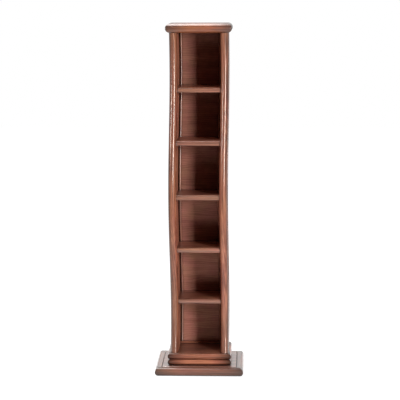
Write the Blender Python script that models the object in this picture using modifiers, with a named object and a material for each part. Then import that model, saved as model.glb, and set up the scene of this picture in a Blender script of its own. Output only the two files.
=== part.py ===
"""CD tower in dark stained wood: an S-curved frame with six open compartments on a stepped plinth.

Blender 4.5, metres, +Z up, front towards -Y, origin under the middle of the base board.

The pieces of the body are modelled straight and then bent with bend(), so stiles, panels,
shelves and beads all follow one curve and keep the same clearances along it.
Body pieces are laid out in x, in depth behind the foremost line of the stiles, and in z.
"""

import math

import bmesh
import bpy
from mathutils import Matrix, Vector

# Overall size, and the clearance between pieces that touch
TOTAL_HEIGHT = 1.200
GAP = 0.0003

# Base board: a panel with a mitred bullnose edging, and a fine V groove at the joint
BASE_WIDTH = 0.302
BASE_DEPTH = 0.270
BASE_THICKNESS = 0.030
EDGING_WIDTH = 0.023
GROOVE_CHAMFER = 0.0022

# Plinth: two boards, each with a half-round moulding round it
TIER_THICKNESS = 0.0202
MOULDING_PROJECTION = 0.0088

# Cap board with a bullnose edge, which overhangs the body
CAP_THICKNESS = 0.031
CAP_SIDE_OVERHANG = 0.0120
CAP_END_OVERHANG = 0.0100

# Body, and the curve that it is bent to
BODY_WIDTH = 0.200
BODY_DEPTH = 0.170
WAVE_LENGTH = 0.850
WAVE_AMPLITUDE = 0.022
SWAY_AMPLITUDE = 0.0022
BEND_STEP = 0.030

# Stiles, with rebates for the side panels and a groove for the back panel
STILE_WIDTH = 0.027
FRONT_STILE_DEPTH = 0.038
FRONT_NOSE_DEPTH = 0.018
REAR_STILE_DEPTH = 0.032
REAR_EDGE_RADIUS = 0.004
REBATE_DEPTH = 0.007
GROOVE_DEPTH = 0.007

# Side panels, flush with the inner faces of the stiles and set in from their outer faces
SIDE_PANEL_INSET = 0.010

# Back panel, with a ledge of the rear stiles behind it, and a rebate along its foot
BACK_PANEL_THICKNESS = 0.006
BACK_PANEL_INSET = 0.008
FOOT_REBATE_DEPTH = 0.003
FOOT_SLOT = 0.002

# Shelves and their housings in the side panels
SHELF_THICKNESS = 0.0165
SHELF_SETBACK = 0.014
SHELF_EDGE_RADIUS = 0.006
HOUSING_DEPTH = 0.005

# Shares of the six compartments in the clear height of the body, from the lowest up
COMPARTMENT_SHARES = (1.02, 0.99, 1.00, 1.00, 0.97, 1.10)

# Beads round the back panel
BEAD_WIDTH = 0.006
BEAD_DEPTH = 0.008
BEAD_SLOT = 0.0035

# Screws from below, and dowels into the cap
SCREW_RADIUS = 0.003
SCREW_HEAD_RADIUS = 0.0058
SCREW_HEAD_HEIGHT = 0.0042
SCREW_HEAD_RECESS = 0.0008
SCREW_SLOT_WIDTH = 0.0014
SCREW_SLOT_DEPTH = 0.0015
SCREW_BITE = 0.030
SCREW_TIP = 0.006
DOWEL_RADIUS = 0.004
DOWEL_IN_CAP = 0.014
DOWEL_IN_STILE = 0.024
DOWEL_CHAMFER = 0.001

# Facets
ARC_STEPS = 10
TURNED_STEPS = 16

# Levels and lines worked out from the sizes above
LOWER_TIER_LOW = BASE_THICKNESS + GAP
UPPER_TIER_LOW = LOWER_TIER_LOW + TIER_THICKNESS + GAP
FLOOR_TOP = UPPER_TIER_LOW + TIER_THICKNESS
BODY_LOW = FLOOR_TOP + GAP
CAP_LOW = TOTAL_HEIGHT - CAP_THICKNESS
BODY_HIGH = CAP_LOW - GAP
BODY_FRONT = -BODY_DEPTH / 2
HALF_BODY = BODY_WIDTH / 2
INNER_FACE = HALF_BODY - STILE_WIDTH
PANEL_OUTER = HALF_BODY - SIDE_PANEL_INSET
REAR_STILE_FRONT = BODY_DEPTH - REAR_STILE_DEPTH
SIDE_PANEL_FRONT = FRONT_STILE_DEPTH - REBATE_DEPTH
SIDE_PANEL_REAR = REAR_STILE_FRONT + REBATE_DEPTH
BACK_PANEL_REAR = BODY_DEPTH - BACK_PANEL_INSET
BACK_PANEL_FRONT = BACK_PANEL_REAR - BACK_PANEL_THICKNESS
BEAD_OUTER = INNER_FACE - BEAD_SLOT
FOOT_BEAD_TOP = FLOOR_TOP + GAP + BEAD_WIDTH

# Middle lines of the fasteners, clear of the rebates and grooves in the stiles
FRONT_FIXING_X = HALF_BODY - STILE_WIDTH / 2
FRONT_FIXING_DEPTH = SIDE_PANEL_FRONT * 0.55
REAR_FIXING_X = HALF_BODY - (STILE_WIDTH - GROOVE_DEPTH) / 2
REAR_FIXING_DEPTH = (SIDE_PANEL_REAR + BODY_DEPTH) / 2

WOOD = ("stained_wood", (0.230, 0.068, 0.035), 0.32, 0.0)
PLY = ("stained_plywood", (0.190, 0.060, 0.034), 0.42, 0.0)
BEECH = ("plain_beech", (0.480, 0.310, 0.170), 0.60, 0.0)
STEEL = ("zinc_plated_steel", (0.560, 0.550, 0.520), 0.35, 1.0)


# The curve of the body

def wave(z):
    """How far the body has swung at height z, from zero at the floor board and the cap."""
    middle = (FLOOR_TOP + CAP_LOW) / 2
    turn = 2 * math.pi * (z - middle) / WAVE_LENGTH
    turn_at_end = 2 * math.pi * (CAP_LOW - middle) / WAVE_LENGTH
    return math.cos(turn) - math.cos(turn_at_end)


def bend(piece):
    """Slices a straight body piece across and swings each slice forwards and a little sideways."""
    mesh = bmesh.new()
    mesh.from_mesh(piece.data)
    bmesh.ops.dissolve_limit(mesh, angle_limit=0.001, verts=mesh.verts[:], edges=mesh.edges[:])
    low = min(vertex.co.z for vertex in mesh.verts)
    high = max(vertex.co.z for vertex in mesh.verts)
    level = BODY_LOW + BEND_STEP
    while level < high - BEND_STEP / 10:
        if level > low + BEND_STEP / 10:
            whole = mesh.verts[:] + mesh.edges[:] + mesh.faces[:]
            bmesh.ops.bisect_plane(mesh, geom=whole, plane_co=(0, 0, level), plane_no=(0, 0, 1))
        level += BEND_STEP
    for vertex in mesh.verts:
        swing = wave(vertex.co.z)
        vertex.co.x -= SWAY_AMPLITUDE * swing
        vertex.co.y -= WAVE_AMPLITUDE * swing
    store(mesh, piece)
    return piece


# Helpers for meshes

# Turns a section in depth and z so that it is extruded along x
SIDEWAYS = Matrix(((0, 0, 1, 0), (1, 0, 0, BODY_FRONT), (0, 1, 0, 0), (0, 0, 0, 1)))


def store(mesh, piece):
    """Writes an edit mesh back to its object, facing outwards."""
    bmesh.ops.recalc_face_normals(mesh, faces=mesh.faces[:])
    mesh.to_mesh(piece.data)
    mesh.free()
    piece.data.update()


def add_piece(name, mesh_data):
    piece = bpy.data.objects.new(name, mesh_data)
    bpy.context.scene.collection.objects.link(piece)
    return piece


def as_mesh(source, name):
    """Turns a curve, or an object with modifiers, into a plain mesh object and removes the source."""
    bpy.context.view_layer.update()
    shown = source.evaluated_get(bpy.context.evaluated_depsgraph_get())
    mesh_data = bpy.data.meshes.new_from_object(shown)
    mesh_data.name = name
    source_data = source.data
    bpy.data.objects.remove(source)
    if isinstance(source_data, bpy.types.Curve):
        bpy.data.curves.remove(source_data)
    else:
        bpy.data.meshes.remove(source_data)
    return add_piece(name, mesh_data)


def arc(centre_x, centre_y, radius_x, radius_y, start, end, steps=ARC_STEPS):
    """Points of an arc in degrees, both ends included."""
    points = []
    for step in range(steps + 1):
        angle = math.radians(start + (end - start) * step / steps)
        points.append((centre_x + radius_x * math.cos(angle), centre_y + radius_y * math.sin(angle)))
    return points


def extrusion(name, outline, start, end, placing):
    """Extrudes a closed 2D outline from start to end along its own Z and places it with a matrix."""
    curve = bpy.data.curves.new(name, "CURVE")
    curve.dimensions = "2D"
    curve.fill_mode = "BOTH"
    curve.extrude = (end - start) / 2
    spline = curve.splines.new("POLY")
    spline.points.add(len(outline) - 1)
    for point, (x, y) in zip(spline.points, outline):
        point.co = (x, y, 0, 1)
    spline.use_cyclic_u = True
    source = bpy.data.objects.new(name, curve)
    bpy.context.scene.collection.objects.link(source)
    piece = as_mesh(source, name)
    mesh = bmesh.new()
    mesh.from_mesh(piece.data)
    bmesh.ops.remove_doubles(mesh, verts=mesh.verts[:], dist=1e-6)
    bmesh.ops.dissolve_limit(mesh, angle_limit=0.001, verts=mesh.verts[:], edges=mesh.edges[:])
    lift = Matrix.Translation((0, 0, (start + end) / 2))
    bmesh.ops.transform(mesh, matrix=placing @ lift, verts=mesh.verts[:])
    store(mesh, piece)
    return piece


def upright(name, outline, low, high):
    """A piece with a plan outline in x and depth, standing from low to high."""
    return extrusion(name, outline, low, high, Matrix.Translation((0, BODY_FRONT, 0)))


def block(name, size, centre):
    mesh = bmesh.new()
    bmesh.ops.create_cube(mesh, size=1.0)
    bmesh.ops.scale(mesh, vec=size, verts=mesh.verts[:])
    bmesh.ops.translate(mesh, vec=centre, verts=mesh.verts[:])
    piece = add_piece(name, bpy.data.meshes.new(name))
    store(mesh, piece)
    return piece


def ease_edges(piece, chosen, radius, segments):
    """Rounds, or with one segment chamfers, the edges that the function chosen picks."""
    mesh = bmesh.new()
    mesh.from_mesh(piece.data)
    edges = [edge for edge in mesh.edges if chosen(*(vertex.co for vertex in edge.verts))]
    bmesh.ops.bevel(
        mesh, geom=edges, offset=radius, segments=segments, profile=0.5, affect="EDGES", clamp_overlap=False
    )
    store(mesh, piece)
    return piece


def turned(name, profile, place):
    """A solid turned round a vertical line, from a profile of radius and height that starts and ends on it."""
    mesh_data = bpy.data.meshes.new(name)
    points = [(radius, 0, height) for radius, height in profile]
    mesh_data.from_pydata(points, [(i, i + 1) for i in range(len(points) - 1)], [])
    source = add_piece(name, mesh_data)
    spin = source.modifiers.new("turn", "SCREW")
    spin.axis = "Z"
    spin.steps = TURNED_STEPS
    spin.render_steps = TURNED_STEPS
    spin.use_merge_vertices = True
    spin.merge_threshold = 1e-5
    piece = as_mesh(source, name)
    mesh = bmesh.new()
    mesh.from_mesh(piece.data)
    bmesh.ops.translate(mesh, vec=place, verts=mesh.verts[:])
    store(mesh, piece)
    return piece


def cut(piece, cutter):
    """Takes the shape of the cutter out of the piece. The cutter stays for further cuts."""
    taking = piece.modifiers.new("cut", "BOOLEAN")
    taking.operation = "DIFFERENCE"
    taking.solver = "EXACT"
    taking.object = cutter
    return as_mesh(piece, piece.name)


def drop(piece):
    mesh_data = piece.data
    bpy.data.objects.remove(piece)
    bpy.data.meshes.remove(mesh_data)


# Base and plinth

def bullnose_profile():
    """Section of the base edging: outwards and up from its inner lower corner."""
    radius = BASE_THICKNESS / 2
    nose = arc(EDGING_WIDTH - radius, radius, radius, radius, -90, 90)
    inner_top = [(GROOVE_CHAMFER, BASE_THICKNESS), (0, BASE_THICKNESS - GROOVE_CHAMFER)]
    return [(0, 0)] + nose + inner_top


def half_round_profile():
    """Section of a plinth moulding: outwards and up from its lower corner."""
    return arc(0, TIER_THICKNESS / 2, MOULDING_PROJECTION, TIER_THICKNESS / 2, -90, 90)


def mitred_strips(prefix, profile, half_width, half_depth, low):
    """Four strips round a board of the given half sizes, with their ends mitred."""
    strips = []
    reach = max(x for x, _ in profile)
    for quarter, side in enumerate(("front", "right", "rear", "left")):
        along, across = (half_width, half_depth) if quarter % 2 == 0 else (half_depth, half_width)
        across += GAP
        along += GAP
        placing = Matrix(((0, 0, 1, 0), (-1, 0, 0, -across), (0, 1, 0, low), (0, 0, 0, 1)))
        length = along + reach + GAP
        strip = extrusion(f"{prefix}_{side}", profile, -length, length, placing)
        mesh = bmesh.new()
        mesh.from_mesh(strip.data)
        for direction in (-1, 1):
            corner = Vector((direction * (along - GAP / 2), -across, 0))
            bmesh.ops.bisect_plane(
                mesh,
                geom=mesh.verts[:] + mesh.edges[:] + mesh.faces[:],
                plane_co=corner,
                plane_no=Vector((direction, 1, 0)),
                clear_outer=True,
            )
            bmesh.ops.holes_fill(mesh, edges=mesh.edges[:], sides=0)
        bmesh.ops.rotate(mesh, matrix=Matrix.Rotation(quarter * math.pi / 2, 3, "Z"), verts=mesh.verts[:])
        store(mesh, strip)
        strips.append(strip)
    return strips


def build_base(screw_cutters):
    """The base panel with its edging."""
    half_width = BASE_WIDTH / 2 - EDGING_WIDTH - GAP
    half_depth = BASE_DEPTH / 2 - EDGING_WIDTH - GAP
    size = (2 * half_width, 2 * half_depth, BASE_THICKNESS)
    panel = block("base_panel", size, (0, 0, BASE_THICKNESS / 2))

    def is_top_edge(first, second):
        return min(first.z, second.z) > BASE_THICKNESS - GAP

    ease_edges(panel, is_top_edge, GROOVE_CHAMFER, 1)
    for cutter in screw_cutters:
        panel = cut(panel, cutter)
    return [panel] + mitred_strips("base_edging", bullnose_profile(), half_width, half_depth, 0)


def build_tier(board_name, moulding_name, low, screw_cutters):
    """One step of the plinth: a board with a half-round moulding round it."""
    size = (BODY_WIDTH, BODY_DEPTH, TIER_THICKNESS)
    board = block(board_name, size, (0, 0, low + TIER_THICKNESS / 2))
    for cutter in screw_cutters:
        board = cut(board, cutter)
    return [board] + mitred_strips(moulding_name, half_round_profile(), HALF_BODY, BODY_DEPTH / 2, low)


# Body

def front_stile_outline(side):
    """Plan of a front stile: oval front, and a rebate for the side panel behind."""
    half = STILE_WIDTH / 2
    nose = arc(HALF_BODY - half, FRONT_NOSE_DEPTH, half, FRONT_NOSE_DEPTH, 180, 360, 12)
    rear = [
        (HALF_BODY, FRONT_STILE_DEPTH),
        (PANEL_OUTER + GAP, FRONT_STILE_DEPTH),
        (PANEL_OUTER + GAP, SIDE_PANEL_FRONT - GAP),
        (INNER_FACE, SIDE_PANEL_FRONT - GAP),
    ]
    return [(side * x, depth) for x, depth in nose + rear]


def rear_stile_outline(side):
    """Plan of a rear stile: a rebate for the side panel, a groove for the back panel, eased rear edges."""
    radius = REAR_EDGE_RADIUS
    groove_floor = INNER_FACE + GROOVE_DEPTH + GAP
    front = [
        (INNER_FACE, SIDE_PANEL_REAR + GAP),
        (PANEL_OUTER + GAP, SIDE_PANEL_REAR + GAP),
        (PANEL_OUTER + GAP, REAR_STILE_FRONT),
        (HALF_BODY, REAR_STILE_FRONT),
    ]
    outer = arc(HALF_BODY - radius, BODY_DEPTH - radius, radius, radius, 0, 90, 3)
    inner = arc(INNER_FACE + radius, BODY_DEPTH - radius, radius, radius, 90, 180, 3)
    groove = [
        (INNER_FACE, BACK_PANEL_REAR + GAP),
        (groove_floor, BACK_PANEL_REAR + GAP),
        (groove_floor, BACK_PANEL_FRONT - GAP),
        (INNER_FACE, BACK_PANEL_FRONT - GAP),
    ]
    return [(side * x, depth) for x, depth in front + outer + inner + groove]


def shelf_tops():
    """Heights of the shelf tops, from the lowest up."""
    shelf_count = len(COMPARTMENT_SHARES) - 1
    clear_height = CAP_LOW - FLOOR_TOP - shelf_count * SHELF_THICKNESS
    one_share = clear_height / sum(COMPARTMENT_SHARES)
    tops = []
    level = FLOOR_TOP
    for share in COMPARTMENT_SHARES[:shelf_count]:
        level += share * one_share + SHELF_THICKNESS
        tops.append(level)
    return tops


def build_stiles(screw_cutters, dowel_cutters):
    stiles = []
    for place, outline in (("front", front_stile_outline), ("rear", rear_stile_outline)):
        for hand, side in (("left", -1), ("right", 1)):
            stile = bend(upright(f"{place}_{hand}_stile", outline(side), BODY_LOW, BODY_HIGH))
            stile = cut(stile, screw_cutters[place, hand])
            stile = cut(stile, dowel_cutters[place, hand])
            stiles.append(stile)
    return stiles


def build_side_panels():
    """Panels whose section, seen from the front, has a housing for each shelf in its inner face."""
    panels = []
    facing_front = Matrix(((1, 0, 0, 0), (0, 0, 1, BODY_FRONT), (0, 1, 0, 0), (0, 0, 0, 1)))
    housing_floor = INNER_FACE + HOUSING_DEPTH
    for hand, side in (("left", -1), ("right", 1)):
        inner_face = [(INNER_FACE, BODY_LOW)]
        for top in shelf_tops():
            low = top - SHELF_THICKNESS - GAP
            high = top + GAP
            inner_face += [(INNER_FACE, low), (housing_floor, low), (housing_floor, high), (INNER_FACE, high)]
        inner_face.append((INNER_FACE, BODY_HIGH))
        section = inner_face + [(PANEL_OUTER, BODY_HIGH), (PANEL_OUTER, BODY_LOW)]
        outline = [(side * x, z) for x, z in section]
        panel = extrusion(f"{hand}_side_panel", outline, SIDE_PANEL_FRONT, SIDE_PANEL_REAR, facing_front)
        panels.append(bend(panel))
    return panels


def build_back_panel():
    """A sheet whose foot is rebated, so that a fine slot shows above the foot bead."""
    half = INNER_FACE + GROOVE_DEPTH
    rebate_top = FOOT_BEAD_TOP + FOOT_SLOT
    rebate_face = BACK_PANEL_FRONT + FOOT_REBATE_DEPTH
    section = [
        (BACK_PANEL_REAR, BODY_LOW),
        (BACK_PANEL_REAR, BODY_HIGH),
        (BACK_PANEL_FRONT, BODY_HIGH),
        (BACK_PANEL_FRONT, rebate_top),
        (rebate_face, rebate_top),
        (rebate_face, BODY_LOW),
    ]
    return bend(extrusion("back_panel", section, -half, half, SIDEWAYS))


def shelf_outline():
    """Plan of a shelf, with its ends in the housings of the side panels."""
    half_width = INNER_FACE - GAP
    half_housed = INNER_FACE + HOUSING_DEPTH - GAP
    right = [
        (half_width, SHELF_SETBACK),
        (half_width, SIDE_PANEL_FRONT + GAP),
        (half_housed, SIDE_PANEL_FRONT + GAP),
        (half_housed, SIDE_PANEL_REAR - GAP),
        (half_width, SIDE_PANEL_REAR - GAP),
        (half_width, BACK_PANEL_FRONT - GAP),
    ]
    left = [(-x, depth) for x, depth in reversed(right)]
    return right + left


def build_shelves():
    """Five shelves, numbered from the top, with eased front edges."""
    shelves = []
    front = BODY_FRONT + SHELF_SETBACK

    def is_front_edge(first, second):
        level = abs(first.z - second.z) < GAP
        return level and max(first.y, second.y) < front + GAP

    for number, top in enumerate(reversed(shelf_tops()), 1):
        shelf = upright(f"shelf_{number}", shelf_outline(), top - SHELF_THICKNESS, top)
        ease_edges(shelf, is_front_edge, SHELF_EDGE_RADIUS, 4)
        shelves.append(bend(shelf))
    return shelves


def upright_bead_outline(side):
    """Plan of an upright bead, with a round front."""
    radius = BEAD_WIDTH / 2
    rear = BACK_PANEL_FRONT - GAP
    front = rear - BEAD_DEPTH
    nose = arc(BEAD_OUTER - radius, front + radius, radius, radius, 180, 360, 6)
    points = nose + [(BEAD_OUTER, rear), (BEAD_OUTER - BEAD_WIDTH, rear)]
    return [(side * x, depth) for x, depth in points]


def foot_bead_section():
    """Section of the bead along the foot of the back panel, in depth and height."""
    radius = BEAD_WIDTH / 2
    low = FLOOR_TOP + GAP
    rear = BACK_PANEL_FRONT - GAP
    nose = arc(rear - BEAD_DEPTH + radius, low + radius, radius, radius, 270, 90, 6)
    return nose + [(rear, FOOT_BEAD_TOP), (rear, low)]


def build_beads():
    """An upright bead at each side of each compartment, and one along the foot of the lowest."""
    half = INNER_FACE - GAP
    beads = [bend(extrusion("foot_bead", foot_bead_section(), -half, half, SIDEWAYS))]
    lows = [FOOT_BEAD_TOP + FOOT_SLOT] + [top + GAP for top in shelf_tops()]
    highs = [top - SHELF_THICKNESS - GAP for top in shelf_tops()] + [BODY_HIGH]
    compartments = len(lows)
    for number, (low, high) in enumerate(zip(lows, highs)):
        for hand, side in (("left", -1), ("right", 1)):
            name = f"{hand}_bead_{compartments - number}"
            beads.append(bend(upright(name, upright_bead_outline(side), low, high)))
    return beads


def build_cap(dowel_cutters):
    """The cap board, with its edges rounded over their whole thickness."""
    width = BODY_WIDTH + 2 * CAP_SIDE_OVERHANG
    depth = BODY_DEPTH + 2 * CAP_END_OVERHANG
    cap = block("cap", (width, depth, CAP_THICKNESS), (0, 0, CAP_LOW + CAP_THICKNESS / 2))

    def is_level_edge(first, second):
        return abs(first.z - second.z) < GAP

    ease_edges(cap, is_level_edge, CAP_THICKNESS * 0.499, 6)
    for cutter in dowel_cutters:
        cap = cut(cap, cutter)
    return cap


# Fasteners

def fixing_places():
    """Middle lines of the screws and dowels, keyed by the stile that they enter."""
    places = {}
    for hand, side in (("left", -1), ("right", 1)):
        places["front", hand] = (side * FRONT_FIXING_X, BODY_FRONT + FRONT_FIXING_DEPTH)
        places["rear", hand] = (side * REAR_FIXING_X, BODY_FRONT + REAR_FIXING_DEPTH)
    return places


def screw_profile(grow):
    """Countersunk wood screw, head down. The hole for it is the same profile, grown."""
    head = SCREW_HEAD_RECESS - grow
    neck = SCREW_HEAD_RECESS + SCREW_HEAD_HEIGHT
    top = BODY_LOW + SCREW_BITE + grow
    start = head if grow == 0 else -SCREW_HEAD_HEIGHT
    profile = [(0, start), (SCREW_HEAD_RADIUS + grow, start)]
    if grow:
        profile.append((SCREW_HEAD_RADIUS + grow, SCREW_HEAD_RECESS))
    profile.append((SCREW_RADIUS + grow, neck))
    return profile + [(SCREW_RADIUS + grow, top - SCREW_TIP), (0, top)]


def dowel_profile(grow):
    """Grooveless dowel pin with chamfered ends, half in the stile and half in the cap."""
    low = BODY_HIGH - DOWEL_IN_STILE - grow
    high = CAP_LOW + DOWEL_IN_CAP + grow
    radius = DOWEL_RADIUS + grow
    if grow:
        return [(0, low), (radius, low), (radius, high), (0, high)]
    slim = radius - DOWEL_CHAMFER
    middle = [(radius, low + DOWEL_CHAMFER), (radius, high - DOWEL_CHAMFER)]
    return [(0, low), (slim, low)] + middle + [(slim, high), (0, high)]


def build_screws():
    """Four slotted screws."""
    screws = []
    for (place, hand), (x, y) in fixing_places().items():
        screw = turned(f"base_screw_{place}_{hand}", screw_profile(0), (x, y, 0))
        slot_size = (SCREW_HEAD_RADIUS * 3, SCREW_SLOT_WIDTH, SCREW_SLOT_DEPTH * 2)
        slot = block("slot_cutter", slot_size, (x, y, SCREW_HEAD_RECESS))
        screw = cut(screw, slot)
        drop(slot)
        screws.append(screw)
    return screws


def build_dowels():
    dowels = []
    for (place, hand), (x, y) in fixing_places().items():
        dowels.append(turned(f"cap_dowel_{place}_{hand}", dowel_profile(0), (x, y, 0)))
    return dowels


def make_cutters(name, profile):
    """One hole cutter for each fixing place."""
    cutters = {}
    for (place, hand), (x, y) in fixing_places().items():
        cutters[place, hand] = turned(f"{name}_{place}_{hand}", profile, (x, y, 0))
    return cutters


# Whole object

def make_material(name, colour, roughness, metallic):
    material = bpy.data.materials.new(name)
    material.use_nodes = True
    shader = material.node_tree.nodes["Principled BSDF"]
    shader.inputs["Base Color"].default_value = (*colour, 1)
    shader.inputs["Roughness"].default_value = roughness
    shader.inputs["Metallic"].default_value = metallic
    return material


def finish(pieces, recipe, collection, root):
    """Gives pieces their material, and files them under the object."""
    material = make_material(*recipe)
    for piece in pieces:
        piece.data.materials.clear()
        piece.data.materials.append(material)
        for holder in list(piece.users_collection):
            holder.objects.unlink(piece)
        collection.objects.link(piece)
        piece.parent = root


def main():
    for item in list(bpy.data.objects):
        bpy.data.objects.remove(item)
    collection = bpy.data.collections.new("cd_tower")
    bpy.context.scene.collection.children.link(collection)
    root = bpy.data.objects.new("cd_tower", None)
    collection.objects.link(root)

    screw_cutters = make_cutters("screw_hole", screw_profile(GAP))
    dowel_cutters = make_cutters("dowel_hole", dowel_profile(GAP))
    wood = build_base(screw_cutters.values())
    wood += build_tier("lower_plinth_board", "lower_moulding", LOWER_TIER_LOW, screw_cutters.values())
    wood += build_tier("floor_board", "upper_moulding", UPPER_TIER_LOW, screw_cutters.values())
    wood += build_stiles(screw_cutters, dowel_cutters)
    wood += build_side_panels()
    wood += build_shelves()
    wood += build_beads()
    wood.append(build_cap(dowel_cutters.values()))
    for cutter in list(screw_cutters.values()) + list(dowel_cutters.values()):
        drop(cutter)

    finish(wood, WOOD, collection, root)
    finish([build_back_panel()], PLY, collection, root)
    finish(build_dowels(), BEECH, collection, root)
    finish(build_screws(), STEEL, collection, root)


main()
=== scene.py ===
"""Looks of the CD tower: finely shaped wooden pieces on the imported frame, finish, light and camera.

Metres, +Z up, front towards -Y. The pieces of the body are shaped straight, then bent to its curve.
"""

import math
from collections import namedtuple

import bmesh
import bpy
from mathutils import Matrix, Vector


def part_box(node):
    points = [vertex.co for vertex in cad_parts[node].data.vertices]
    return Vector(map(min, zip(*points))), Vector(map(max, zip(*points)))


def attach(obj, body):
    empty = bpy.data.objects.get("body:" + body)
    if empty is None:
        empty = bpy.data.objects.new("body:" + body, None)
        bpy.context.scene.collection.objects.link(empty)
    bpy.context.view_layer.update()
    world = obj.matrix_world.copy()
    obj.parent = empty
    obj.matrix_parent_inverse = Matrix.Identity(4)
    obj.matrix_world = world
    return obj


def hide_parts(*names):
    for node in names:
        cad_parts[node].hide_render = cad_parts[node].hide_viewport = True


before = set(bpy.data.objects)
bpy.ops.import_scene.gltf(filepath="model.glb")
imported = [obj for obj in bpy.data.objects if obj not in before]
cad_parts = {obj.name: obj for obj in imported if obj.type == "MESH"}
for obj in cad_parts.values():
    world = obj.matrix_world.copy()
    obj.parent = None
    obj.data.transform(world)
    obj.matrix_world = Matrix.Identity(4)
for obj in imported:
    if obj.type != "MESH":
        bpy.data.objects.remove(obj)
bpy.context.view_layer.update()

# Finished pieces, by the name of the node that each one stands for
finished = {}

# Clearance between pieces, and the curve of the body
GAP = 0.0003
WAVE_LENGTH = 0.850
WAVE_AMPLITUDE = 0.022
SWAY_AMPLITUDE = 0.0022
BEND_STEP = 0.010
BEND_MARGIN = BEND_STEP / 10

# Stiles and panels
STILE_WIDTH = 0.027
FRONT_STILE_DEPTH = 0.038
FRONT_NOSE_DEPTH = 0.018
REAR_STILE_DEPTH = 0.032
REAR_EDGE_RADIUS = 0.004
ARRIS_RADIUS = 0.0015
REBATE_DEPTH = 0.007
GROOVE_DEPTH = 0.007
SIDE_PANEL_INSET = 0.010
BACK_PANEL_THICKNESS = 0.006
BACK_PANEL_INSET = 0.008
FOOT_REBATE_DEPTH = 0.003
FOOT_SLOT = 0.002

# Shelves and beads
SHELF_SETBACK = 0.014
SHELF_TOP_RADIUS = 0.008
SHELF_LOW_RADIUS = 0.0015
HOUSING_DEPTH = 0.005
BEAD_WIDTH = 0.006
BEAD_DEPTH = 0.008
BEAD_SLOT = 0.0035

# Base edging and cap
EDGING_WIDTH = 0.023
GROOVE_CHAMFER = 0.0022
CAP_CORNER_RADIUS = 0.004

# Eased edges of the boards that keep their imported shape
BOARD_ARRIS = 0.0006
BOARD_ARRIS_SEGMENTS = 2
BOARD_ARRIS_DEGREES = 40
WELD_DISTANCE = 1e-5

# Holes for the base screws
SCREW_RADIUS = 0.003

# Steps of round forms, and the angle from which an edge is shaded sharp
NOSE_STEPS = 28
MOULDING_STEPS = 24
CAP_NOSE_STEPS = 24
CAP_CORNER_STEPS = 5
BEAD_STEPS = 12
REAR_EDGE_STEPS = 6
ARRIS_STEPS = 3
SHELF_EDGE_SEGMENTS = 8
HOLE_SEGMENTS = 24
SHARP_DEGREES = 38

# Levels and lines that the frame gives
FLOOR_LOW_CORNER, FLOOR_HIGH_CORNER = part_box("floor_board")
HALF_BODY = FLOOR_HIGH_CORNER.x
BODY_FRONT = FLOOR_LOW_CORNER.y
BODY_DEPTH = FLOOR_HIGH_CORNER.y - FLOOR_LOW_CORNER.y
FLOOR_TOP = FLOOR_HIGH_CORNER.z
CAP_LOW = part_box("cap")[0].z
BODY_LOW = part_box("front_left_stile")[0].z
BODY_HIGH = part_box("front_left_stile")[1].z
SHELF_SPANS = [(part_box(f"shelf_{n}")[0].z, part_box(f"shelf_{n}")[1].z) for n in range(1, 6)]

INNER_FACE = HALF_BODY - STILE_WIDTH
PANEL_OUTER = HALF_BODY - SIDE_PANEL_INSET
REAR_STILE_FRONT = BODY_DEPTH - REAR_STILE_DEPTH
SIDE_PANEL_FRONT = FRONT_STILE_DEPTH - REBATE_DEPTH
SIDE_PANEL_REAR = REAR_STILE_FRONT + REBATE_DEPTH
BACK_PANEL_REAR = BODY_DEPTH - BACK_PANEL_INSET
BACK_PANEL_FRONT = BACK_PANEL_REAR - BACK_PANEL_THICKNESS
BEAD_OUTER = INNER_FACE - BEAD_SLOT
FOOT_BEAD_TOP = FLOOR_TOP + GAP + BEAD_WIDTH

HANDS = (("left", -1), ("right", 1))


# Shaping of meshes

def wave(z):
    """How far the body has swung at height z, from zero at the floor board and the cap."""
    middle = (FLOOR_TOP + CAP_LOW) / 2
    turn = 2 * math.pi * (z - middle) / WAVE_LENGTH
    turn_at_end = 2 * math.pi * (CAP_LOW - middle) / WAVE_LENGTH
    return math.cos(turn) - math.cos(turn_at_end)


def arc(centre_x, centre_y, radius_x, radius_y, start, end, steps):
    """Points of an arc in degrees, both ends included."""
    points = []
    for step in range(steps + 1):
        angle = math.radians(start + (end - start) * step / steps)
        points.append((centre_x + radius_x * math.cos(angle), centre_y + radius_y * math.sin(angle)))
    return points


def prism(outline, start, end, place):
    """Closed mesh of a 2D outline extruded from start to end. place turns (a, b, along) into x, y, z."""
    mesh = bmesh.new()
    first = [mesh.verts.new(place(a, b, start)) for a, b in outline]
    last = [mesh.verts.new(place(a, b, end)) for a, b in outline]
    mesh.faces.new(first)
    mesh.faces.new(last)
    for i in range(len(outline)):
        follower = (i + 1) % len(outline)
        mesh.faces.new((first[i], first[follower], last[follower], last[i]))
    bmesh.ops.recalc_face_normals(mesh, faces=mesh.faces[:])
    return mesh


def plan_place(x, depth, z):
    """Place of a point of a plan, which is extruded upwards."""
    return (x, BODY_FRONT + depth, z)


def front_place(x, z, depth):
    """Place of a point of a front view, which is extruded backwards."""
    return (x, BODY_FRONT + depth, z)


def side_place(depth, z, x):
    """Place of a point of a side view, which is extruded to the right."""
    return (x, BODY_FRONT + depth, z)


def bend(mesh):
    """Slices a straight body piece across and swings each slice forwards and a little sideways."""
    low = min(vertex.co.z for vertex in mesh.verts)
    high = max(vertex.co.z for vertex in mesh.verts)
    level = BODY_LOW + BEND_STEP
    while level < high - BEND_MARGIN:
        if level > low + BEND_MARGIN:
            whole = mesh.verts[:] + mesh.edges[:] + mesh.faces[:]
            bmesh.ops.bisect_plane(mesh, geom=whole, plane_co=(0, 0, level), plane_no=(0, 0, 1))
        level += BEND_STEP
    for vertex in mesh.verts:
        swing = wave(vertex.co.z)
        vertex.co.x -= SWAY_AMPLITUDE * swing
        vertex.co.y -= WAVE_AMPLITUDE * swing
    return mesh


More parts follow.
